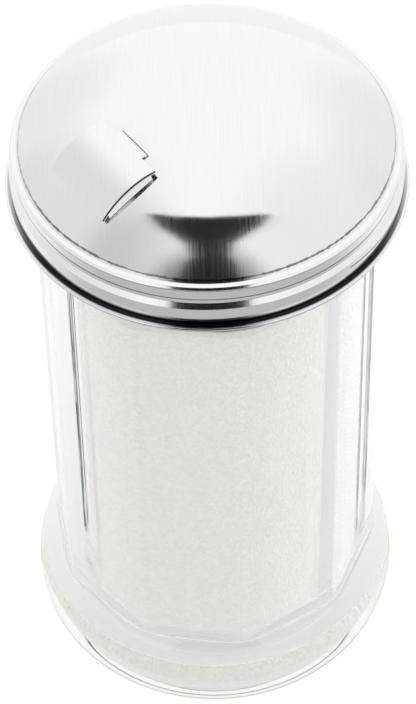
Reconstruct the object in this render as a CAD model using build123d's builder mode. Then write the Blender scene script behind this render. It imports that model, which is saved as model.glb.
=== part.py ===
"""Glass sugar dispenser with a screw-on steel lid and a hinged pour flap.

Millimetres, +Z up. The origin is the middle of the base, where the jar stands.
The flap is at the front left of the lid, at `flap_azimuth` degrees from +X.
"""
from build123d import *
from math import asin, cos, radians, sin, tan
import os

os.makedirs("parts", exist_ok=True)

# ---------------------------------------------------------------- glass jar
body_radius = 34.0          # round body, left as narrow strips between the panels
wall_thickness = 3.8        # at the strips, from the body to the bore
foot_reach = 1.0            # edge of the base, out from the body
foot_round = 0.8
bulge_reach = 2.9           # widest ring of the foot, out from the edge of the base
bulge_height = 7.7
push_up_inset = 7.0         # the hollow under the base starts this far inside its edge
push_up_height = 1.5
junction_height = 19.5      # the bulge runs into the body here
panel_count = 10
panel_azimuth = 64.0        # direction of one strip between two panels, from +X
panel_depth = 1.5           # the flat panels are pressed in this far
panel_ledge = 0.9           # slanted lower end of each panel
panel_runout = 2.6          # slanted upper end of each panel
panel_gap = 0.7             # from the panels up to the collar
collar_height = 121.3       # glass collar just inside the lid's hem
collar_reach = 0.9
collar_width = 1.9
collar_round = 0.5
finish_reach = 0.2          # neck that the lid screws over, out from the body
finish_height = 12.0        # from the foot of the collar up to the rim
rim_round = 1.0
floor_thickness = 8.0
floor_round = 7.0

# ---------------------------------------------------------------- sugar and liner ring
fill_headspace = 15.8       # top of the sugar, below the rim
fill_clearance = 0.1
ring_thickness = 1.2
ring_inset = 0.7            # inner edge, outwards from the bore
ring_overhang = 0.5         # outer edge, past the neck
ring_clearance = 0.1        # above the glass rim
ring_round = 0.2

# ---------------------------------------------------------------- lid shell
lid_sheet = 0.45
dome_radius = 61.2          # spherical radius of the dome's outside
crease_run = 0.25           # the dome runs on this far into the crease round it
crease_round = 0.5
lid_seat_gap = 0.2          # from the liner ring up to the crease
bead_width = 1.1            # flat top of the bead, from the crease outwards
bead_reach = 0.35           # out from the neck
bead_side = 1.15
bead_round = 0.6
bead_tuck = 0.4             # slope under the bead
neck_clearance = 1.6        # from the glass neck to the inside of the steel
neck_height = 2.25
neck_round = 0.6
thread_reach = 0.85         # crest of the rolled thread, out from the neck
thread_flank = 1.95
thread_height = 1.75
thread_round = 0.8
skirt_reach = 0.65          # foot of the skirt, out from the neck
skirt_sweep = 3.0           # large round from the thread into the skirt
skirt_fall = 1.9
hem_reach = 1.25            # rolled hem, out from the foot of the skirt
hem_height = 1.1
hem_round = 0.3
hem_gap = 0.6               # open gutter between the skirt and the curled edge

# ---------------------------------------------------------------- pour opening, slot and flap
flap_azimuth = 216.0
flap_sheet = 0.4
flap_width = 16.7
flap_reach = 12.5           # from the hinge line to the free edge
flap_edge_inset = 5.9       # from the free edge to the edge of the dome
flap_bend_round = 0.3       # along the bend into each closed end
hinge_sink = 0.08           # hinge line below the middle of the dome's sheet
opening_setback = 6.6       # from the hinge line to the middle of the pour opening
opening_length = 8.1        # away from the axis
opening_width = 11.1
opening_round = 2.3
flap_rest_gap = 0.15        # free edge above the dome
flap_rise_angle = 21.0      # the plate leaves the hinge at this angle above the dome
flap_setback = 0.4          # the wide plate starts this far outside the hinge line
wall_inset = 1.1            # open corner beside each closed end
wall_clearance = 0.12       # under the closed ends
hook_radius = 0.55          # inside of the curled tab
hook_end = 242.0            # the curl stops here, 0 degrees pointing away from the axis
ear_start = 222.0
ear_reach = 0.9             # the ears stand out past the tab on each side
tab_width = 7.7
slot_end_clearance = 0.25
slot_side_clearance = 0.12


# ---------------------------------------------------------------- glass jar
def panel_plane(number):
    """Plane through the axis and the middle of one panel; x points outwards, y up."""
    azimuth = radians(panel_azimuth + (number + 0.5) * 360 / panel_count)
    return Plane(
        origin=(0, 0, 0),
        x_dir=(cos(azimuth), sin(azimuth), 0),
        z_dir=(sin(azimuth), -cos(azimuth), 0),
    )


foot_radius = body_radius + foot_reach
bulge_radius = foot_radius + bulge_reach
push_up_radius = foot_radius - push_up_inset
bore_radius = body_radius - wall_thickness
collar_radius = body_radius + collar_reach
collar_top = collar_height + collar_width
finish_radius = body_radius + finish_reach
jar_height = collar_height + finish_height
panel_radius = body_radius - panel_depth
panel_end = collar_height - panel_gap

with BuildPart() as glass_jar:
    with BuildSketch(Plane.XZ):
        with BuildLine():
            hollow = TangentArc((0, push_up_height), (push_up_radius, 0), tangent=(1, 0))
            Line(hollow @ 1, (foot_radius, 0))
            TangentArc((bulge_radius, bulge_height), (foot_radius, 0), tangent=(0, -1))
            shoulder = TangentArc(
                (bulge_radius, bulge_height), (body_radius, junction_height), tangent=(0, 1)
            )
            inside = FilletPolyline(
                shoulder @ 1,
                (body_radius, collar_height),
                (collar_radius, collar_height + collar_reach),
                (collar_radius, collar_top),
                (finish_radius, collar_top + collar_radius - finish_radius),
                (finish_radius, jar_height),
                (bore_radius, jar_height),
                (bore_radius, floor_thickness),
                (0, floor_thickness),
                radius=[collar_round] * 4 + [rim_round] * 2 + [floor_round],
            )
            Line(inside @ 1, hollow @ 0)
        make_face()
    revolve(axis=Axis.Z)
    base_rings = glass_jar.edges().filter_by(GeomType.CIRCLE).group_by(Axis.Z)[0]
    fillet(base_rings.sort_by(SortBy.RADIUS)[-1], radius=foot_round)
    for number in range(panel_count):
        with BuildSketch(panel_plane(number)):
            with BuildLine():
                Polyline(
                    (panel_radius, junction_height + panel_ledge),
                    (body_radius, junction_height),
                    (bulge_radius, junction_height),
                    (bulge_radius, panel_end),
                    (body_radius, panel_end),
                    (panel_radius, panel_end - panel_runout),
                    close=True,
                )
            make_face()
        extrude(amount=body_radius / 2, both=True, mode=Mode.SUBTRACT)
glass_jar.part.label = "glass_jar"
export_step(glass_jar.part, "parts/glass_jar.step")


# ---------------------------------------------------------------- sugar
fill_radius = bore_radius - fill_clearance
fill_floor = floor_thickness + fill_clearance
fill_level = jar_height - fill_headspace

with BuildPart() as sugar_fill:
    with BuildSketch(Plane.XZ):
        with BuildLine():
            FilletPolyline(
                (0, fill_floor),
                (fill_radius, fill_floor),
                (fill_radius, fill_level),
                (0, fill_level),
                radius=[floor_round, 0],
            )
            Line((0, fill_level), (0, fill_floor))
        make_face()
    revolve(axis=Axis.Z)
sugar_fill.part.label = "sugar_fill"
export_step(sugar_fill.part, "parts/sugar_fill.step")


# ---------------------------------------------------------------- liner ring on the glass rim
ring_inner = bore_radius + ring_inset
ring_outer = finish_radius + ring_overhang
ring_base = jar_height + ring_clearance

with BuildPart() as sealing_ring:
    with BuildSketch(Plane.XY.offset(ring_base)):
        Circle(ring_outer)
        Circle(ring_inner, mode=Mode.SUBTRACT)
    extrude(amount=ring_thickness)
    fillet(sealing_ring.edges().filter_by(GeomType.CIRCLE), radius=ring_round)
sealing_ring.part.label = "sealing_ring"
export_step(sealing_ring.part, "parts/sealing_ring.step")


# ---------------------------------------------------------------- places on the dome
def slope_at(radius, shell_radius):
    """Slope of a sphere about the dome's centre, in radians, at a distance from the axis."""
    return asin(radius / shell_radius)


# The steel clears the glass neck, and the crease stands above the liner ring.
neck_radius = finish_radius + neck_clearance + lid_sheet
bead_radius = neck_radius + bead_reach
thread_radius = neck_radius + thread_reach
skirt_radius = neck_radius + skirt_reach
hem_radius = skirt_radius + hem_reach
crease_radius = bead_radius - bead_width
crease_height = ring_base + ring_thickness + lid_seat_gap

# The dome is built up from the crease.
dome_edge_radius = crease_radius - crease_run
edge_slope = slope_at(dome_edge_radius, dome_radius)
dome_edge_height = crease_height + crease_run * tan(edge_slope)
dome_centre = dome_edge_height - dome_radius * cos(edge_slope)

outward = Vector(cos(radians(flap_azimuth)), sin(radians(flap_azimuth)), 0)
hinge_direction = Vector(sin(radians(flap_azimuth)), -cos(radians(flap_azimuth)), 0)
flap_section = Plane(origin=(0, 0, 0), x_dir=outward, z_dir=hinge_direction)

# The hinge line lies inside the dome's sheet, on the outer edge of the slot.
flap_edge_radius = dome_edge_radius - flap_edge_inset
hinge_radius = flap_edge_radius - flap_reach
hinge_shell = dome_radius - lid_sheet / 2 - hinge_sink
hinge_slope = slope_at(hinge_radius, hinge_shell)
hinge_height = dome_centre + hinge_shell * cos(hinge_slope)


def from_hinge(along, above):
    """Point in the flap's section, along the dome and square to it from the hinge line."""
    return (
        hinge_radius + along * cos(hinge_slope) + above * sin(hinge_slope),
        hinge_height - along * sin(hinge_slope) + above * cos(hinge_slope),
    )


def round_hinge(radius, angle):
    """Point in the flap's section on a circle round the hinge line."""
    return from_hinge(radius * cos(radians(angle)), radius * sin(radians(angle)))


def plane_on_dome(section_point, slope):
    """Plane at a point of the flap's section: x along the hinge, z square to the dome."""
    return Plane(
        origin=flap_section.from_local_coords((*section_point, 0)),
        x_dir=hinge_direction,
        z_dir=outward * sin(slope) + Vector(0, 0, cos(slope)),
    )


# ---------------------------------------------------------------- lid shell
bead_foot = crease_height - bead_side
neck_top = bead_foot - bead_tuck
neck_foot = neck_top - neck_height
thread_top = neck_foot - thread_flank
thread_foot = thread_top - thread_height
skirt_foot = thread_foot - skirt_fall
hem_foot = skirt_foot - hem_height
hem_start = skirt_foot - hem_height / 3

half_sheet = lid_sheet / 2
opening_radius = hinge_radius + opening_setback
opening_slope = slope_at(opening_radius, dome_radius)
opening_point = (opening_radius, dome_centre + dome_radius * cos(opening_slope))
hook_outer = hook_radius + flap_sheet
slot_width = hook_outer + slot_side_clearance
slot_length = tab_width + 2 * slot_end_clearance

with BuildPart() as lid:
    with BuildSketch(Plane.XZ):
        with BuildLine() as shell_line:
            dome = TangentArc(
                (0, dome_centre + dome_radius), (dome_edge_radius, dome_edge_height), tangent=(1, 0)
            )
            FilletPolyline(
                dome @ 1,
                (crease_radius, crease_height),
                (bead_radius, crease_height),
                (bead_radius, bead_foot),
                (neck_radius, neck_top),
                (neck_radius, neck_foot),
                (thread_radius, thread_top),
                (thread_radius, thread_foot),
                (skirt_radius, skirt_foot),
                (skirt_radius, hem_start),
                radius=[crease_round]
                + [bead_round] * 2
                + [neck_round] * 2
                + [thread_round, skirt_sweep, skirt_sweep],
            )
            offset(amount=lid_sheet, side=Side.RIGHT)
        make_face()
        # hem: the skirt's foot curls out and up, and its edge turns back in over a gutter
        with BuildLine():
            FilletPolyline(
                (skirt_radius - half_sheet, hem_start),
                (skirt_radius - half_sheet, hem_foot + half_sheet),
                (hem_radius - half_sheet, hem_foot + half_sheet),
                (hem_radius - half_sheet, skirt_foot - half_sheet),
                (skirt_radius + hem_gap, skirt_foot - half_sheet),
                radius=hem_round,
            )
        trace(line_width=lid_sheet)
    revolve(axis=Axis.Z)
    with BuildSketch(plane_on_dome(opening_point, opening_slope)):
        RectangleRounded(opening_width, opening_length, opening_round)
    extrude(amount=2 * lid_sheet, both=True, mode=Mode.SUBTRACT)
    slot_middle = from_hinge(-slot_width / 2, 0)
    with BuildSketch(plane_on_dome(slot_middle, hinge_slope)):
        Rectangle(slot_length, slot_width)
    extrude(amount=2 * lid_sheet, both=True, mode=Mode.SUBTRACT)
lid.part.label = "lid"
export_step(lid.part, "parts/lid.step")


# ---------------------------------------------------------------- pour flap
edge_shell = dome_radius + flap_rest_gap + flap_sheet / 2
flap_edge_slope = slope_at(flap_edge_radius, edge_shell)
flap_edge = (flap_edge_radius, dome_centre + edge_shell * cos(flap_edge_slope))
hook_middle = hook_radius + flap_sheet / 2
plate_start = round_hinge(hook_middle, 90 + flap_rise_angle)
plate_heading = radians(flap_rise_angle) - hinge_slope
wall_depth = flap_edge_radius - hinge_radius
wall_clear_radius = dome_radius + wall_clearance
ear_width = tab_width + 2 * ear_reach


def draw_plate():
    """Middle line of the arched plate, from the hinge's tab to the free edge."""
    return TangentArc(
        plate_start, flap_edge, tangent=(cos(plate_heading), sin(plate_heading))
    )


def draw_curl(first_angle, last_angle):
    """Middle line of the tab's curl round the hinge line."""
    halfway = (first_angle + last_angle) / 2
    return ThreePointArc(
        round_hinge(hook_middle, first_angle),
        round_hinge(hook_middle, halfway),
        round_hinge(hook_middle, last_angle),
    )


def keep_outside(first, last):
    """Leave only what lies between two distances along the dome from the hinge line."""
    for near, far in ((-wall_depth, first), (last, 3 * wall_depth)):
        Polygon(
            from_hinge(near, -wall_depth),
            from_hinge(far, -wall_depth),
            from_hinge(far, wall_depth),
            from_hinge(near, wall_depth),
            align=None,
            mode=Mode.SUBTRACT,
        )


plate_length = wall_depth / cos(hinge_slope)

with BuildPart() as pour_flap:
    # closed ends, standing just above the dome
    with BuildSketch(flap_section.offset(flap_width / 2)):
        with BuildLine():
            arch = draw_plate()
            Polyline(
                arch @ 1,
                (flap_edge_radius, hinge_height - wall_depth),
                (hinge_radius, hinge_height - wall_depth),
                arch @ 0,
            )
        make_face()
        keep_outside(flap_setback + wall_inset, plate_length - wall_inset)
    extrude(amount=-flap_sheet)
    mirror(about=flap_section)
    with Locations((0, 0, dome_centre)):
        Sphere(wall_clear_radius, mode=Mode.SUBTRACT)
    # arched plate
    with BuildSketch(flap_section):
        with BuildLine():
            draw_plate()
        trace(line_width=flap_sheet)
        keep_outside(flap_setback, 2 * wall_depth)
    extrude(amount=flap_width / 2, both=True)
    # tab and its curl, down through the slot
    with BuildSketch(flap_section):
        with BuildLine():
            draw_plate()
        trace(line_width=flap_sheet)
        keep_outside(-wall_depth, 2 * flap_setback)
        with BuildLine():
            draw_curl(90 + flap_rise_angle, hook_end)
        trace(line_width=flap_sheet)
    extrude(amount=tab_width / 2, both=True)
    # ears under the dome keep the tab in its slot
    with BuildSketch(flap_section):
        with BuildLine():
            draw_curl(ear_start, hook_end)
        trace(line_width=flap_sheet)
    extrude(amount=ear_width / 2, both=True)
    # bends between the plate and its closed ends
    long_arcs = pour_flap.edges().filter_by(GeomType.CIRCLE).group_by(SortBy.LENGTH)[-1]
    fillet(long_arcs, radius=flap_bend_round)
pour_flap.part.label = "pour_flap"
export_step(pour_flap.part, "parts/pour_flap.step")
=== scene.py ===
"""Looks of the glass sugar dispenser with a steel lid and a hinged pour flap.

Sizes are in millimetres, most of them the driving sizes of the solids; meshes are built in metres.
"""
import math

import bpy
import numpy as np
from mathutils import Matrix, Vector, noise


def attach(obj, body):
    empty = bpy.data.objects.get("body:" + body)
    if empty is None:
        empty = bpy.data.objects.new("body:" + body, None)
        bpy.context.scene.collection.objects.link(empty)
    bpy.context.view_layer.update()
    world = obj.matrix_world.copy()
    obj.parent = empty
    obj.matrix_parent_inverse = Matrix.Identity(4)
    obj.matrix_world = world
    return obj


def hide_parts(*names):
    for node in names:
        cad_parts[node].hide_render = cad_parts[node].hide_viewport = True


MM = 0.001

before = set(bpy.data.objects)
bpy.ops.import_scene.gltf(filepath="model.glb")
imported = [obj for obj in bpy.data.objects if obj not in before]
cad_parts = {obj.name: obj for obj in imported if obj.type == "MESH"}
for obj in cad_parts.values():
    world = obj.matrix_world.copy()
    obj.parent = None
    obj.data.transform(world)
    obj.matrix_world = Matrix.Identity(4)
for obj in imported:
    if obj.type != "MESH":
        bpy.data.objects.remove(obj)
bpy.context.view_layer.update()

# ---------------------------------------------------------------- sizes, as in the solids
body_radius = 34.0
wall_thickness = 3.8
foot_reach = 1.0
bulge_reach = 2.9
bulge_height = 7.7
push_up_inset = 7.0
push_up_height = 1.5
junction_height = 19.5
panel_count = 10
panel_azimuth = 64.0
panel_depth = 1.5
panel_ledge = 0.9
panel_runout = 2.6
panel_gap = 0.7
collar_height = 121.3
collar_reach = 0.9
collar_width = 1.9
collar_round = 0.5
finish_reach = 0.2
finish_height = 12.0
rim_round = 1.0
floor_thickness = 8.0
floor_round = 7.0

fill_headspace = 15.8
fill_clearance = 0.1

lid_sheet = 0.45
dome_radius = 61.2
crease_run = 0.25
crease_height = 134.8
bead_reach = 0.35
bead_width = 1.1
bead_side = 1.15
bead_tuck = 0.4
neck_clearance = 1.6
neck_height = 2.25
thread_reach = 0.85
thread_flank = 1.95
thread_height = 1.75
skirt_reach = 0.65
skirt_fall = 1.9
hem_reach = 1.25
hem_height = 1.1

flap_azimuth = 216.0
opening_radius = 23.45
opening_length = 8.1
opening_width = 11.1
opening_round = 2.3
hinge_radius = 16.85
hinge_sink = 0.08
slot_length = 8.2
slot_width = 1.07

# ---------------------------------------------------------------- fine forms that only this model has
panel_softness = 1.0        # reach of the soft pressed edge of a panel
fill_round = 0.6            # top edge of the sugar
score_inset = 0.5           # scored line round the dome, in from the crease
score_width = 0.07
score_depth = 0.15
bead_sink = 0.22            # top of the bead, below the crease
bead_slope = 0.04
bead_bevel = 0.16           # facet between the bead's top and side, to each side of its radius
bead_bevel_height = 0.46
bead_lip = 0.1              # foot of the bead's side, out and up from its corner
neck_ease = 0.25            # start of the neck's turn to the thread
ridge_reach = 0.1           # small ridge between neck and thread
ridge_drop = 0.72
thread_ease = 0.25
curl_reach = 0.05           # where the skirt goes over into the hem
curl_height = 0.3
hem_roll = 0.7
hem_groove = 0.06
hem_groove_rise = 0.02
hem_groove_round = 0.4
hem_round = 0.3
slot_round = 0.15

# ---------------------------------------------------------------- fineness of the meshes
jar_segments, sugar_segments, lid_segments = 480, 300, 288
jar_spacing, sugar_spacing = 1.6, 1.0
dome_steps, shoulder_steps, bulge_steps, push_up_steps = 36, 18, 12, 14
fillet_step = 9             # degrees
jar_sharp, sugar_sharp = 50, 60         # degrees from which an edge is shaded sharp

# ---------------------------------------------------------------- derived sizes
foot_radius = body_radius + foot_reach
bulge_radius = foot_radius + bulge_reach
push_up_radius = foot_radius - push_up_inset
bore_radius = body_radius - wall_thickness
collar_radius = body_radius + collar_reach
collar_top = collar_height + collar_width
finish_radius = body_radius + finish_reach
jar_height = collar_height + finish_height
panel_radius = body_radius - panel_depth
panel_end = collar_height - panel_gap
fill_radius = bore_radius - fill_clearance
fill_floor = floor_thickness + fill_clearance
fill_level = jar_height - fill_headspace

neck_radius = finish_radius + neck_clearance + lid_sheet
bead_radius = neck_radius + bead_reach
thread_radius = neck_radius + thread_reach
skirt_radius = neck_radius + skirt_reach
hem_radius = skirt_radius + hem_reach
crease_radius = bead_radius - bead_width
dome_edge_radius = crease_radius - crease_run
edge_slope = math.asin(dome_edge_radius / dome_radius)
dome_edge_height = crease_height + crease_run * math.tan(edge_slope)
dome_centre = dome_edge_height - dome_radius * math.cos(edge_slope)
bead_top = crease_height - bead_sink
bead_foot = crease_height - bead_side
neck_top = bead_foot - bead_tuck
neck_foot = neck_top - neck_height
thread_top = neck_foot - thread_flank
thread_foot = thread_top - thread_height
skirt_foot = thread_foot - skirt_fall
hem_foot = skirt_foot - hem_height
hem_top = hem_foot + hem_roll


def dome_height(radius):
    """Height of the dome's outer face at a distance from the axis."""
    return dome_centre + math.sqrt(dome_radius ** 2 - radius ** 2)


score_radius = crease_radius - score_inset
score_height = dome_height(score_radius)


# ---------------------------------------------------------------- profiles: points with outward normals
def left_of(direction):
    """Normal on the left of a direction in the (radius, height) plane."""
    return np.array([-direction[1], direction[0]])


def unit(vector):
    return vector / np.linalg.norm(vector)


def rotated(vector, angle):
    cosine, sine = math.cos(angle), math.sin(angle)
    return np.array([vector[0] * cosine - vector[1] * sine, vector[0] * sine + vector[1] * cosine])


def filleted(corners):
    """Samples (point, left normal) along a polyline of corners: radius, height, rounding.

    The first and the last corner are the ends of the line, and have no rounding.
    """
    step = math.radians(fillet_step)
    points = [np.array(corner[:2], float) for corner in corners]
    roundings = [corner[2] for corner in corners[1:-1]]
    samples = [(points[0], left_of(unit(points[1] - points[0])))]
    for before, corner, after, radius in zip(points, points[1:], points[2:], roundings):
        coming = unit(corner - before)
        going = unit(after - corner)
        turn = math.atan2(coming[0] * going[1] - coming[1] * going[0], float(coming @ going))
        reach = radius * math.tan(abs(turn) / 2)
        side = math.copysign(1, turn)
        centre = corner - coming * reach + left_of(coming) * side * radius
        count = max(2, math.ceil(abs(turn) / step))
        for index in range(count + 1):
            normal = rotated(left_of(coming), turn * index / count)
            samples.append((centre - side * radius * normal, normal))
    samples.append((points[-1], left_of(unit(points[-1] - points[-2]))))
    return samples


def tangent_arc(start, heading, end, count):
    """Samples (point, left normal) on the arc that leaves start along heading and meets end."""
    start, end, heading = np.array(start, float), np.array(end, float), unit(np.array(heading, float))
    chord = end - start
    half_turn = math.atan2(heading[0] * chord[1] - heading[1] * chord[0], float(heading @ chord))
    radius = np.linalg.norm(chord) / 2 / math.sin(abs(half_turn))
    side = math.copysign(1, half_turn)
    centre = start + left_of(heading) * side * radius
    samples = []
    for index in range(count + 1):
        normal = rotated(left_of(heading), 2 * half_turn * index / count)
        samples.append((centre - side * radius * normal, normal))
    return samples


def backwards(samples):
    """The same samples in reverse, with their normals on the left again."""
    return [(point, -normal) for point, normal in reversed(samples)]


def subdivided(samples, spacing):
    """The same samples with long straight stretches divided evenly."""
    result = [samples[0]]
    for (start, first), (end, last) in zip(samples, samples[1:]):
        count = max(1, round(np.linalg.norm(end - start) / spacing))
        for index in range(1, count):
            share = index / count
            result.append((start + (end - start) * share, unit(first + (last - first) * share)))
        result.append((end, last))
    return result


def without_repeats(samples):
    """Drops samples that repeat the point before them."""
    same_point = 1e-4
    result = [samples[0]]
    for sample in samples[1:]:
        if np.linalg.norm(sample[0] - result[-1][0]) > same_point:
            result.append(sample)
    return result


# ---------------------------------------------------------------- meshes
on_axis = 1e-6              # a radius below this is a point on the axis


def new_object(name, vertices, faces):
    mesh = bpy.data.meshes.new(name)
    mesh.from_pydata([tuple(vertex) for vertex in vertices], [], faces)
    mesh.update()
    piece = bpy.data.objects.new(name, mesh)
    bpy.context.scene.collection.objects.link(piece)
    return piece


def ring_faces(ring_count, segments, first_is_point, last_is_point):
    """Quads between rings of vertices, with fans where an end is one point on the axis."""
    faces = []
    starts = []
    offset = 0
    for ring in range(ring_count):
        starts.append(offset)
        point = (ring == 0 and first_is_point) or (ring == ring_count - 1 and last_is_point)
        offset += 1 if point else segments
    for ring in range(ring_count - 1):
        low, high = starts[ring], starts[ring + 1]
        for index in range(segments):
            following = (index + 1) % segments
            if ring == 0 and first_is_point:
                faces.append((low, high + index, high + following))
            elif ring == ring_count - 2 and last_is_point:
                faces.append((low + index, high, low + following))
            else:
                faces.append((low + index, high + index, high + following, low + following))
    return faces


def revolved(name, samples, segments, shape=None):
    """Closed surface of revolution through the samples, which have the solid on their right.

    shape(radius, height, azimuth) may change a point's (radius, height).
    """
    vertices = []
    for (radius, height), _ in samples:
        if radius < on_axis:
            vertices.append((0, 0, height * MM))
            continue
        for index in range(segments):
            azimuth = 2 * math.pi * index / segments
            r, z = shape(radius, height, azimuth) if shape else (radius, height)
            vertices.append((r * math.cos(azimuth) * MM, r * math.sin(azimuth) * MM, z * MM))
    first_is_point = samples[0][0][0] < on_axis
    last_is_point = samples[-1][0][0] < on_axis
    return new_object(name, vertices, ring_faces(len(samples), segments, first_is_point, last_is_point))


def shade(piece, angle):
    """Smooth shading that keeps edges sharper than the angle, in degrees."""
    for polygon in piece.data.polygons:
        polygon.use_smooth = True
    piece.data.set_sharp_from_angle(angle=math.radians(angle))


# ---------------------------------------------------------------- glass jar
def soft_min(first, second, softness):
    """Smaller of two values, rounded where they are close."""
    blend = max(softness - abs(first - second), 0) / softness
    return min(first, second) - blend * blend * softness / 4


def panel_apothem(height):
    """Distance of the panels' planes from the axis at a height; large where there is no panel."""
    if height < junction_height or height > panel_end:
        return 2 * bulge_radius
    if height < junction_height + panel_ledge:
        return body_radius - panel_depth * (height - junction_height) / panel_ledge
    if height > panel_end - panel_runout:
        return body_radius - panel_depth * (panel_end - height) / panel_runout
    return panel_radius


def panelled(radius, height, azimuth):
    """Presses the flat panels into the round body and leaves its bore as it is."""
    if radius < (bore_radius + panel_radius) / 2:
        return radius, height
    pitch = 2 * math.pi / panel_count
    offset = (azimuth - math.radians(panel_azimuth)) % pitch - pitch / 2
    plane = panel_apothem(height) / math.cos(offset)
    return soft_min(radius, plane, panel_softness), height


def make_jar():
    inside_and_body = filleted([
        (0, floor_thickness, 0),
        (bore_radius, floor_thickness, floor_round),
        (bore_radius, jar_height, rim_round),
        (finish_radius, jar_height, rim_round),
        (finish_radius, collar_top + collar_radius - finish_radius, collar_round),
        (collar_radius, collar_top, collar_round),
        (collar_radius, collar_height + collar_reach, collar_round),
        (body_radius, collar_height, collar_round),
        (body_radius, junction_height, 0),
    ])
    bulge = (bulge_radius, bulge_height)
    shoulder = backwards(tangent_arc(bulge, (0, 1), (body_radius, junction_height), shoulder_steps))
    foot = tangent_arc(bulge, (0, -1), (foot_radius, 0), bulge_steps)
    push_up = backwards(tangent_arc((0, push_up_height), (1, 0), (push_up_radius, 0), push_up_steps))
    samples = subdivided(inside_and_body, jar_spacing) + shoulder + foot + push_up
    return revolved("jar_glass", without_repeats(samples), jar_segments, panelled)


jar = make_jar()
shade(jar, jar_sharp)
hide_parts("glass_jar")
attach(jar, "jar")


# ---------------------------------------------------------------- sugar
grain_scale = 1.3           # cycles per millimetre of the finest unevenness
heap_scale = 0.12
fine_height = 0.25
heap_height = 0.9
heap_sink = 0.7             # brings the heaps back to about the solid's level
edge_clearance = 0.1
side_clearance = 0.06
side_grain = 0.05


def grainy(radius, height, azimuth):
    """Draws the sugar in a little from the glass, as grains do, and heaps its top unevenly."""
    place = Vector((radius * math.cos(azimuth), radius * math.sin(azimuth), height))
    fine = noise.noise(place * grain_scale)
    coarse = noise.noise(place * heap_scale)
    if height > fill_level - fill_round + edge_clearance:
        level = height + fine_height * fine + heap_height * coarse - heap_sink
        return min(radius, fill_radius - edge_clearance), level
    return radius - side_clearance + side_grain * fine, height


def make_sugar():
    samples = filleted([
        (0, fill_level, 0),
        (fill_radius, fill_level, fill_round),
        (fill_radius, fill_floor, floor_round),
        (0, fill_floor, 0),
    ])
    samples = without_repeats(subdivided(samples, sugar_spacing))
    return revolved("sugar_grains", samples, sugar_segments, grainy)


sugar = make_sugar()
shade(sugar, sugar_sharp)
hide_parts("sugar_fill")
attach(sugar, "jar")


# ---------------------------------------------------------------- lid
def lid_outside():
    """Outer face of the lid's sheet, from the top of the dome to the start of the hem.

    It has the fine steps that the steel shows: a scored line round the dome, the bead's own
    facets and the small ridge where the neck turns out to the thread.
    """
    apex = (0, dome_centre + dome_radius)
    dome = tangent_arc(apex, (1, 0), (score_radius, score_height), dome_steps)
    bead_edge = bead_top - bead_slope
    sides = filleted([
        (score_radius, score_height, 0),
        (score_radius + score_width, score_height - score_depth, 0.05),
        (crease_radius, bead_top, 0.08),
        (bead_radius - bead_bevel, bead_edge, 0.1),
        (bead_radius + bead_bevel, bead_edge - bead_bevel_height, 0.12),
        (bead_radius + bead_lip, bead_foot + bead_lip, 0.12),
        (neck_radius, neck_top, 0.15),
        (neck_radius, neck_foot + neck_ease, 0.25),
        (neck_radius + ridge_reach, neck_foot - ridge_drop, 0.2),
        (thread_radius, thread_top + thread_ease, 0.1),
        (thread_radius, thread_foot, 0.5),
        (skirt_radius + curl_reach, skirt_foot + curl_height, 0),
    ])
    return without_repeats(dome + sides)


def lid_profile():
    """Closed section of the lid: the outside, the rolled hem and the inside of the sheet."""
    outside = lid_outside()
    foot_outer, foot_height = outside[-1][0]
    foot_inner = foot_outer - lid_sheet
    hem = filleted([
        (foot_outer, foot_height, 0),
        (skirt_radius + hem_groove, hem_top + hem_groove_rise, hem_groove_round),
        (hem_radius, hem_top, hem_round),
        (hem_radius, hem_foot, hem_round),
        (foot_inner, hem_foot, hem_round),
        (foot_inner, foot_height, 0),
    ])
    inside = backwards([(point - normal * lid_sheet, normal) for point, normal in outside])
    inside[-1] = (np.array([0.0, inside[-1][0][1]]), inside[-1][1])
    return without_repeats(outside + hem[1:-1] + inside)


def flap_frame(radius, height):
    """Axes at a place on the dome below the flap: x along the hinge, y away from the lid's axis."""
    azimuth = math.radians(flap_azimuth)
    slope = math.asin(radius / dome_radius)
    outward = Vector((math.cos(azimuth), math.sin(azimuth), 0))
    up = outward * math.sin(slope) + Vector((0, 0, math.cos(slope)))
    hinge = Vector((math.sin(azimuth), -math.cos(azimuth), 0))
    away = up.cross(hinge)
    matrix = Matrix((hinge, away, up)).transposed().to_4x4()
    matrix.translation = (outward * radius + Vector((0, 0, height))) * MM
    return matrix


def rounded_prism(name, width, length, corner, matrix):
    """Upright prism with a rounded rectangle for its base, used to cut the dome."""
    half_depth = 1.5
    corner_steps = 8
    outline = []
    for corner_index, (sign_x, sign_y) in enumerate(((1, 1), (-1, 1), (-1, -1), (1, -1))):
        centre = (sign_x * (width / 2 - corner), sign_y * (length / 2 - corner))
        for step in range(corner_steps + 1):
            angle = math.radians(90 * corner_index + 90 * step / corner_steps)
            outline.append((centre[0] + corner * math.cos(angle), centre[1] + corner * math.sin(angle)))
    vertices = [(x * MM, y * MM, side * half_depth * MM) for side in (-1, 1) for x, y in outline]
    count = len(outline)
    faces = [tuple(reversed(range(count))), tuple(range(count, 2 * count))]
    for index in range(count):
        following = (index + 1) % count
        faces.append((index, following, count + following, count + index))
    prism = new_object(name, vertices, faces)
    prism.data.transform(matrix)
    return prism


def cut(piece, cutter):
    """Takes the cutter's volume out of the piece's mesh and deletes the cutter."""
    modifier = piece.modifiers.new("cut", "BOOLEAN")
    modifier.operation = "DIFFERENCE"
    modifier.object = cutter
    modifier.solver = "EXACT"
    bpy.context.view_layer.update()
    evaluated = piece.evaluated_get(bpy.context.evaluated_depsgraph_get())
    mesh = bpy.data.meshes.new_from_object(evaluated)
    piece.modifiers.clear()
    piece.data = mesh
    bpy.data.objects.remove(cutter)


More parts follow.
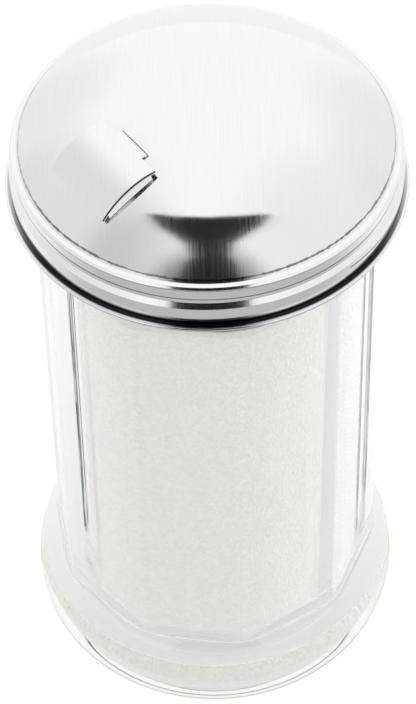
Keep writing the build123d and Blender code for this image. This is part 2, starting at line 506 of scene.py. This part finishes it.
def vertex_places(mesh):
    """Vertex coordinates in millimetres, and the vertices' distances from the axis."""
    coordinates = np.zeros(len(mesh.vertices) * 3)
    mesh.vertices.foreach_get("co", coordinates)
    coordinates = coordinates.reshape(-1, 3) / MM
    return coordinates, np.hypot(coordinates[:, 0], coordinates[:, 1])


def nearest_samples(points, radii, heights):
    """Index of the profile point nearest to each place, worked out in parts to save memory."""
    part_size = 4000
    indices = []
    for start in range(0, len(radii), part_size):
        part = slice(start, start + part_size)
        gaps = np.hypot(radii[part, None] - points[:, 0], heights[part, None] - points[:, 1])
        indices.append(gaps.argmin(axis=1))
    return np.concatenate(indices)


def lid_normals(piece, samples):
    """Gives each corner of the lid's mesh the true normal of the sheet where they agree."""
    on_sphere = 0.05
    outer_margin, inner_margin = 0.1, 0.4
    agreement = math.cos(math.radians(35))
    mesh = piece.data
    coordinates, radii = vertex_places(mesh)
    points = np.array([point for point, _ in samples])
    normals = np.array([normal for _, normal in samples])
    nearest = normals[nearest_samples(points, radii, coordinates[:, 2])]
    true_normals = np.zeros_like(coordinates)
    true_normals[:, :2] = nearest[:, :1] * coordinates[:, :2] / np.maximum(radii, on_axis)[:, None]
    true_normals[:, 2] = nearest[:, 1]
    from_centre = coordinates - np.array([0, 0, dome_centre])
    distance = np.linalg.norm(from_centre, axis=1)
    outward = from_centre / distance[:, None]
    outer = (abs(distance - dome_radius) < on_sphere) & (radii < score_radius - outer_margin)
    inner = (abs(distance - dome_radius + lid_sheet) < on_sphere) & (radii < score_radius - inner_margin)
    true_normals[outer] = outward[outer]
    true_normals[inner] = -outward[inner]
    corner_normals = []
    for polygon in mesh.polygons:
        polygon.use_smooth = True
        own = np.array(polygon.normal)
        for vertex in polygon.vertices:
            true = true_normals[vertex]
            corner_normals.append(tuple(true if own @ true > agreement else own))
    mesh.normals_split_custom_set(corner_normals)


def sheet_coordinates(piece, samples):
    """UV map of the flat sheet that the lid was drawn from, in millimetres, for its brushed grain."""
    dome_margin = 0.1
    mesh = piece.data
    coordinates, radii = vertex_places(mesh)
    points = np.array([point for point, _ in samples])
    steps = np.linalg.norm(np.diff(points, axis=0), axis=1)
    lengths = np.concatenate([[0], np.cumsum(steps)])
    along = np.minimum(lengths, lengths[-1] - lengths)
    distance = along[nearest_samples(points, radii, coordinates[:, 2])]
    on_dome = radii < score_radius - dome_margin
    distance[on_dome] = dome_radius * np.arcsin(radii[on_dome] / dome_radius)
    flat = coordinates[:, :2] * (distance / np.maximum(radii, on_axis))[:, None]
    layer = mesh.uv_layers.new(name="sheet")
    for loop in mesh.loops:
        layer.data[loop.index].uv = flat[loop.vertex_index]


def make_lid():
    samples = lid_profile()
    piece = revolved("lid_shell", samples, lid_segments)
    opening = flap_frame(opening_radius, dome_height(opening_radius))
    cut(piece, rounded_prism("opening_cut", opening_width, opening_length, opening_round, opening))
    hinge_shell = dome_radius - lid_sheet / 2 - hinge_sink
    hinge_slope = math.asin(hinge_radius / hinge_shell)
    slot_radius = hinge_radius - slot_width / 2 * math.cos(hinge_slope)
    slot_height = dome_centre + hinge_shell * math.cos(hinge_slope) + slot_width / 2 * math.sin(hinge_slope)
    slot = flap_frame(slot_radius, slot_height)
    cut(piece, rounded_prism("slot_cut", slot_length, slot_width, slot_round, slot))
    sheet_coordinates(piece, samples)
    lid_normals(piece, samples)
    return piece


lid = make_lid()
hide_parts("lid")
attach(lid, "lid")


# ---------------------------------------------------------------- node trees
class Tree:
    """Node tree of a material or a world, with short ways to add to it."""

    def __init__(self, owner):
        owner.use_nodes = True
        self.nodes = owner.node_tree.nodes
        self.links = owner.node_tree.links

    def set(self, node, **inputs):
        """Sets or links inputs by their names, with _ for a space."""
        for name, value in inputs.items():
            self.feed(node.inputs[name.replace("_", " ")], value)

    def feed(self, socket, value):
        """Links the socket to another one, or sets it to a plain value."""
        if isinstance(value, bpy.types.NodeSocket):
            self.links.new(value, socket)
        else:
            socket.default_value = value

    def add(self, kind, **inputs):
        node = self.nodes.new("ShaderNode" + kind)
        self.set(node, **inputs)
        return node

    def place(self, kind="Object"):
        return self.add("TexCoord").outputs[kind]

    def axes(self, vector):
        """X, Y and Z of a vector."""
        node = self.add("SeparateXYZ", Vector=vector)
        return [node.outputs[axis] for axis in "XYZ"]

    def math(self, operation, first, second=0.0):
        """Math node on two values, each a socket or a number."""
        node = self.add("Math")
        node.operation = operation
        self.feed(node.inputs[0], first)
        self.feed(node.inputs[1], second)
        return node.outputs["Value"]

    def hypotenuse(self, first, second):
        squares = [self.math("MULTIPLY", side, side) for side in (first, second)]
        return self.math("SQRT", self.math("ADD", *squares))

    def vector_math(self, operation, first, second=None):
        """Vector math node on a socket and, if given, a second socket or fixed vector."""
        node = self.add("VectorMath")
        node.operation = operation
        self.feed(node.inputs[0], first)
        if second is not None:
            self.feed(node.inputs[1], second)
        return node.outputs["Value" if operation == "DOT_PRODUCT" else "Vector"]

    def mix(self, factor, low, high, kind="FLOAT"):
        """low where the factor is 0, high where it is 1."""
        node = self.add("Mix")
        node.data_type = kind
        self.set(node, Factor=factor, A=low, B=high)
        return node.outputs["Result"]

    def mix_shaders(self, factor, low, high):
        node = self.add("MixShader", Fac=factor)
        self.feed(node.inputs[1], low)
        self.feed(node.inputs[2], high)
        return node.outputs["Shader"]

    def ramp(self, source, low, high, to_low=0.0, to_high=1.0, kind="SMOOTHSTEP"):
        """Goes from to_low to to_high as the source goes from low to high."""
        node = self.add("MapRange", Value=source, From_Min=low, From_Max=high, To_Min=to_low, To_Max=to_high)
        node.interpolation_type = kind
        return node.outputs["Result"]


def new_material(name):
    """Node material, its tree and its principled shader."""
    material = bpy.data.materials.new(name)
    tree = Tree(material)
    return material, tree, tree.nodes["Principled BSDF"]


def give(piece, material):
    piece.data.materials.clear()
    piece.data.materials.append(material)


# ---------------------------------------------------------------- steel
steel_shine = (0.845, 0.875)
# painted shade: the steel's colour where a dark line is
painted_shade_shine = 0.02           # inside a dark line
grain_spread = (0.3, 0.7)   # the part of the noise that counts
rough_spread = (0.75, 1.3)
lid_roughness = 0.09
flap_roughness = 0.1
lid_grain = (3.0, 0.07, 1.0)            # cycles per millimetre of the flat sheet
flap_grain = (3000.0, 70.0, 70.0)       # cycles per metre
grain_bump = 0.16
grain_relief = 0.02         # millimetres
ragged_scale = 900.0        # cycles per metre along a scratched line
ragged_spread = (0.35, 0.7)
# how far the flap's surface faces its front end, where its bend begins and where the end wall does
bend_start = (0.12, 0.4)
wall_start = (0.93, 0.99)
# painted dark reflection on the flap's bend, at its deepest
painted_bend_depth = 0.92
wall_lean = 0.3

# painted shade in dark lines round the lid: radius, height, half width, reach, depth, ragged edge (mm)
painted_crease_shade = [
    (score_radius + 0.05, crease_height + 0.2, 0.03, 0.2, 0.75, 0.16),
    (bead_radius - 0.02, bead_foot + 0.02, 0.12, 0.42, 0.85, 0.0),
    (neck_radius + 0.02, neck_foot + 0.1, 0.03, 0.2, 0.75, 0.0),
    (skirt_radius + 0.3, hem_top + 0.25, 0.3, 0.62, 1.0, 0.0),
    (hem_radius - 0.02, hem_foot + 0.1, 0.05, 0.3, 0.6, 0.0),
]
# the lines' painted shade is deepest towards the front and shallower behind
front_start, front_whole = -1.0, -22.0  # Y from which the lines are at full depth towards the front
back_depth = 0.45

# painted shade in a line where the thread runs out: azimuths in degrees, heights at its two ends
run_out_azimuths = (-46.5, -20.0)
run_out_heights = (128.3, 127.3)
run_out_fade_in = (-47.0, -45.5)
run_out_fade_out = (-30.0, -14.0)
run_out_width = (0.08, 0.25)
run_out_depth = 0.8
run_out_radii = (36.4, 36.7)            # keeps the line on the outside of the sheet


def painted_crease_shade_line(tree, radius, height, ragged, line):
    """Painted shade of one line round the lid, where its ragged edge eats into the width."""
    line_radius, line_height, core, reach, depth, scratched = line
    across = tree.math("SUBTRACT", radius, line_radius * MM)
    up = tree.math("SUBTRACT", height, line_height * MM)
    gap = tree.hypotenuse(across, up)
    if scratched:
        rough_edge = tree.ramp(ragged, *ragged_spread, 0.0, -scratched * MM)
        gap = tree.math("ADD", gap, rough_edge)
    return tree.ramp(gap, core * MM, reach * MM, depth, 0.0)


def painted_run_out_shade(tree, radius, azimuth, height):
    """Painted shade of the slanting line where the thread runs out."""
    along = [math.radians(angle) for angle in run_out_azimuths]
    fade_in = [math.radians(angle) for angle in run_out_fade_in]
    fade_out = [math.radians(angle) for angle in run_out_fade_out]
    heights, width, radii = (
        [size * MM for size in pair] for pair in (run_out_heights, run_out_width, run_out_radii))
    # painted shade: a dark line along the thread's run-out
    course = tree.ramp(azimuth, *along, *heights, kind="LINEAR")
    gap = tree.math("ABSOLUTE", tree.math("SUBTRACT", height, course))
    painted_shade = tree.ramp(gap, *width, run_out_depth, 0.0)
    shares = (
        tree.ramp(azimuth, *fade_in),
        tree.ramp(azimuth, *fade_out, 1.0, 0.0),
        tree.ramp(radius, *radii),
    )
    for share in shares:
        painted_shade = tree.math("MULTIPLY", painted_shade, share)
    return painted_shade


def painted_lid_shade(tree, place):
    """Painted shade in the lid's creases and its scratched scored line: 1 in the middle of a line, 0 away
    from it.
    """
    x, y, height = tree.axes(place)
    radius = tree.hypotenuse(x, y)
    azimuth = tree.math("ARCTAN2", y, x)
    front = tree.ramp(y, front_start * MM, front_whole * MM, back_depth, 1.0)
    ragged = tree.add("TexNoise", Vector=place, Scale=ragged_scale, Detail=2.0).outputs["Fac"]
    painted_shade = 0.0
    for line in painted_crease_shade:
        shown = tree.math("MULTIPLY", painted_crease_shade_line(tree, radius, height, ragged, line), front)
        painted_shade = tree.math("MAXIMUM", painted_shade, shown)
    return tree.math("MAXIMUM", painted_shade, painted_run_out_shade(tree, radius, azimuth, height))


def brushed(tree, shader, roughness, grain_place, grain_scale, tangent, painted_shade):
    """Steel with fine brush lines and dark lines of painted shade. Returns the normal that the grain makes.
    """
    mapping = tree.add("Mapping", Vector=grain_place, Scale=grain_scale)
    grain = tree.add("TexNoise", Vector=mapping.outputs["Vector"], Scale=1.0, Detail=5.0, Roughness=0.7)
    grain = grain.outputs["Fac"]
    # painted shade: the steel's colour is darkened along the dark lines
    shine = tree.mix(painted_shade, tree.ramp(grain, *grain_spread, *steel_shine), painted_shade_shine)
    rough = tree.ramp(grain, *grain_spread, *(roughness * share for share in rough_spread))
    tree.set(shader, Metallic=1.0, Anisotropic=0.9, Tangent=tangent, Base_Color=shine, Roughness=rough)
    return tree.add("Bump", Height=grain, Strength=grain_bump, Distance=grain_relief * MM).outputs["Normal"]


def brushed_lid():
    """Brush lines run along Y of the flat sheet from which the lid was drawn."""
    material, tree, shader = new_material("brushed_lid")
    sheet = tree.add("UVMap")
    sheet.uv_map = "sheet"
    tangent = tree.add("Tangent")
    tangent.direction_type = "UV_MAP"
    tangent.uv_map = "sheet"
    painted_shade = painted_lid_shade(tree, tree.place())
    normal = brushed(tree, shader, lid_roughness, sheet.outputs["UV"], lid_grain,
                     tangent.outputs["Tangent"], painted_shade)
    tree.set(shader, Normal=normal)
    return material


def brushed_flap():
    """Brush lines run along Y. The bend to the front end wall has a painted dark reflection, and that wall
    leans back.
    """
    material, tree, shader = new_material("brushed_flap")
    azimuth = math.radians(flap_azimuth)
    front_end = (-math.sin(azimuth), math.cos(azimuth), 0)
    sideways = tree.vector_math("DOT_PRODUCT", tree.place("Normal"), front_end)
    leaves_top = tree.ramp(sideways, *bend_start)
    meets_wall = tree.ramp(sideways, *wall_start, painted_bend_depth, 0.0)
    # painted dark reflection along the bend, fading out where the end wall begins
    painted_bend_shade = tree.math("MULTIPLY", leaves_top, meets_wall)
    across = tree.add("CombineXYZ", X=1.0)
    tangent = tree.add("VectorTransform", Vector=across.outputs["Vector"])
    tangent.vector_type = "VECTOR"
    tangent.convert_from = "OBJECT"
    tangent.convert_to = "WORLD"
    normal = brushed(tree, shader, flap_roughness, tree.place(), flap_grain, tangent.outputs["Vector"], painted_bend_shade)
    on_wall = tree.ramp(sideways, *wall_start, 0.0, wall_lean)
    upward = tree.add("CombineXYZ", Z=on_wall).outputs["Vector"]
    leaning = tree.vector_math("ADD", normal, upward)
    tree.set(shader, Normal=tree.vector_math("NORMALIZE", leaning))
    return material


# ---------------------------------------------------------------- glass, sugar and liner
def clear_glass():
    """Pressed glass with painted shade over the fill, darker and greener; light on its way to the sugar
    passes straight through.
    """
    clear = (1.0, 1.0, 1.0, 1)
    # painted shade of the dim headspace under the lid, on the glass over the fill
    headspace_shade_tint = (0.80, 0.84, 0.77, 1)
    passed_light = (0.97, 0.97, 0.965, 1)
    thick_tint = (0.70, 0.78, 0.68, 1)
    tint_start, tint_whole = fill_level - 1.3, fill_level - 0.5
    material, tree, shader = new_material("pressed_glass")
    _, _, height = tree.axes(tree.place())
    # painted shade: the glass's colour over the fill
    headspace_shade = tree.ramp(height, tint_start * MM, tint_whole * MM)
    tree.set(shader, Roughness=0.0, IOR=1.5, Transmission_Weight=1.0,
             Base_Color=tree.mix(headspace_shade, clear, headspace_shade_tint, "RGBA"))
    path = tree.add("LightPath")
    passing = tree.math("MAXIMUM", path.outputs["Is Shadow Ray"], path.outputs["Is Diffuse Ray"])
    straight = tree.add("BsdfTransparent", Color=passed_light)
    surface = tree.mix_shaders(passing, shader.outputs["BSDF"], straight.outputs["BSDF"])
    absorption = tree.add("VolumeAbsorption", Density=5.0, Color=thick_tint)
    tree.set(tree.nodes["Material Output"], Surface=surface, Volume=absorption.outputs["Volume"])
    return material


def white_sugar():
    """White grains: cells of slightly different brightness, with a fine bump."""
    dull_grain = (0.88, 0.866, 0.85, 1)
    bright_grain = (0.98, 0.964, 0.948, 1)
    grains_per_metre = 1900.0
    grain_height = 0.3 * MM
    material, tree, shader = new_material("sugar_grain")
    cells = tree.add("TexVoronoi", Vector=tree.place(), Scale=grains_per_metre)
    bump = tree.add("Bump", Height=cells.outputs["Distance"], Strength=0.5, Distance=grain_height)
    tree.set(shader, Roughness=0.55, Normal=bump.outputs["Normal"],
             Base_Color=tree.mix(cells.outputs["Color"], dull_grain, bright_grain, "RGBA"))
    return material


def soft_liner():
    material, tree, shader = new_material("liner_plastic")
    tree.set(shader, Base_Color=(0.86, 0.86, 0.83, 1), Roughness=0.5)
    return material


give(jar, clear_glass())
give(sugar, white_sugar())
give(lid, brushed_lid())
give(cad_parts["pour_flap"], brushed_flap())
give(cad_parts["sealing_ring"], soft_liner())


# ---------------------------------------------------------------- stage
floor_half = 2.5            # metres
floor_gap = 0.1
floor_paint = (0.8, 0.8, 0.8, 1)
floor_glow = {"Is Camera Ray": 0.35, "Is Transmission Ray": 0.45, "Is Diffuse Ray": 0.35}
floor_mirrored = (0.55, 1.0)            # how bright steel and glass see it, in front and behind
floor_mirrored_y = (-0.09, 0.06)        # metres

# opening over the camera: distance in front of the axis, its edge to the left and to the right (mm)
card_height = 900.0
card_stations = [
    (135, 240, 265),
    (185, 180, 200),
    (245, 115, 125),
    (310, 90, 110),
    (355, 135, 140),
    (450, 175, 180),
    (500, 215, 215),
]
card_back = [(-295, -51), (-145, -93), (0, -107), (150, -96), (305, -68)]     # curved edge over the object
card_far = 1000.0           # it goes on down to the floor there
card_bend = (350.0, 500.0)  # half width and height of its bend
card_foot = 500.0           # half width on the floor
card_black = (0.004, 0.004, 0.004, 1)

# parts of the room: azimuth, elevation, inner and outer angle in degrees, brightness added
mirrored_level = 1.08       # as steel and glass mirror it
mirrored_areas = [
    (-175, 35, 10, 50, -0.25),
    (-150, 58, 3, 22, -0.2),
    (135, 5, 5, 35, -0.15),
    (35, 8, 5, 40, -0.15),
    (-15, 40, 10, 50, -0.14),
    (-90, 50, 15, 28, -0.75),
]
lighting_level = 0.87       # as it lights the sugar and the floor
lighting_areas = [
    (-95, 25, 10, 80, -0.36),
    (25, 15, 10, 60, 1.7),
    (155, 15, 10, 60, 0.8),
]


def make_floor():
    """White floor that keeps the object's shadow. Steel sees it darker in front."""
    corners = [(x * floor_half, y * floor_half, 0) for x, y in ((-1, -1), (1, -1), (1, 1), (-1, 1))]
    floor = new_object("floor", corners, [(0, 1, 2, 3)])
    floor.location.z = -floor_gap * MM
    material = bpy.data.materials.new("floor_white")
    tree = Tree(material)
    material.cycles.emission_sampling = "NONE"
    tree.nodes.clear()
    path = tree.add("LightPath")
    level = 0.0
    for ray, glow in floor_glow.items():
        level = tree.math("MAXIMUM", level, tree.math("MULTIPLY", path.outputs[ray], glow))
    paint = tree.add("BsdfDiffuse", Color=floor_paint)
    white = tree.add("AddShader")
    tree.feed(white.inputs[0], paint.outputs["BSDF"])
    tree.feed(white.inputs[1], tree.add("Emission", Strength=level).outputs["Emission"])
    _, y, _ = tree.axes(tree.place())
    mirrored = tree.add("Emission", Strength=tree.ramp(y, *floor_mirrored_y, *floor_mirrored))
    surface = tree.mix_shaders(path.outputs["Is Glossy Ray"], white.outputs["Shader"],
                               mirrored.outputs["Emission"])
    tree.add("OutputMaterial", Surface=surface)
    give(floor, material)


def room_level(tree, direction, level, areas):
    """Brightness of the room in a direction: the level, with each area's share added round its middle."""
    for azimuth, elevation, inner, outer, amount in areas:
        azimuth, elevation, inner, outer = (
            math.radians(angle) for angle in (azimuth, elevation, inner, outer))
        flat = math.cos(elevation)
        middle = (flat * math.cos(azimuth), flat * math.sin(azimuth), math.sin(elevation))
        closeness = tree.vector_math("DOT_PRODUCT", direction, middle)
        share = tree.ramp(closeness, math.cos(outer), math.cos(inner), 0.0, amount)
        level = tree.math("ADD", level, share)
    return level


def make_world():
    """Plain white room, uneven where it is mirrored and where it lights the sugar."""
    world = bpy.data.worlds.new("studio")
    bpy.context.scene.world = world
    tree = Tree(world)
    world.cycles.sampling_method = "NONE"
    path = tree.add("LightPath")
    direction = tree.place("Generated")
    mirrored = room_level(tree, direction, mirrored_level, mirrored_areas)
    lighting = room_level(tree, direction, lighting_level, lighting_areas)
    level = tree.mix(path.outputs["Is Glossy Ray"], 1.0, mirrored)
    level = tree.mix(path.outputs["Is Diffuse Ray"], level, lighting)
    tree.set(tree.nodes["Background"], Color=(1, 1, 1, 1), Strength=level)


def make_dark_card():
    """Dark opening over and in front of the camera that the dome and the lid's steps reflect."""
    left = [(-left_edge, -front) for front, left_edge, _ in card_stations]
    right = [(right_edge, -front) for front, _, right_edge in card_stations]
    outline = left[::-1] + card_back + right
    count = len(outline)
    vertices = [(x * MM, y * MM, card_height * MM) for x, y in outline]
    bend_half, bend_height = card_bend
    for half, height in ((bend_half, bend_height), (card_foot, 0.0)):
        vertices += [(side * half * MM, -card_far * MM, height * MM) for side in (-1, 1)]
    card = new_object("dark_card", vertices, [
        tuple(range(count)),
        (count - 1, 0, count, count + 1),
        (count + 1, count, count + 2, count + 3),
    ])
    material, tree, shader = new_material("card_black")
    tree.set(shader, Base_Color=card_black, Roughness=1.0)
    give(card, material)
    card.visible_camera = False
    card.visible_diffuse = False
    card.visible_shadow = False
    card.visible_transmission = False


# ---------------------------------------------------------------- camera and render
picture_height = 704        # pixels
picture_offset = (-3.246, 9.275)        # of the lens's axis from the picture's middle, in pixels
camera_lens = 158.98
camera_place = (0, -399.69, 553.4)
camera_pitch = 50.415       # degrees below the horizon
camera_roll = -1.223
camera_reach = 10           # metres
all_bounces = 32
surface_bounces = 24        # the glass needs many to stay clear


def make_camera():
    data = bpy.data.cameras.new("camera")
    data.lens = camera_lens
    data.shift_x, data.shift_y = (offset / picture_height for offset in picture_offset)
    data.clip_end = camera_reach
    camera = bpy.data.objects.new("camera", data)
    tilt = Matrix.Rotation(math.radians(90 - camera_pitch), 4, "X")
    roll = Matrix.Rotation(math.radians(camera_roll), 4, "Z")
    camera.matrix_world = Matrix.Translation(Vector(camera_place) * MM) @ tilt @ roll
    bpy.context.scene.collection.objects.link(camera)
    bpy.context.scene.camera = camera


make_floor()
make_world()
make_dark_card()
make_camera()
scene = bpy.context.scene
scene.view_settings.view_transform = "Standard"
scene.cycles.max_bounces = all_bounces
scene.cycles.glossy_bounces = surface_bounces
scene.cycles.transmission_bounces = surface_bounces
scene.cycles.transparent_max_bounces = surface_bounces
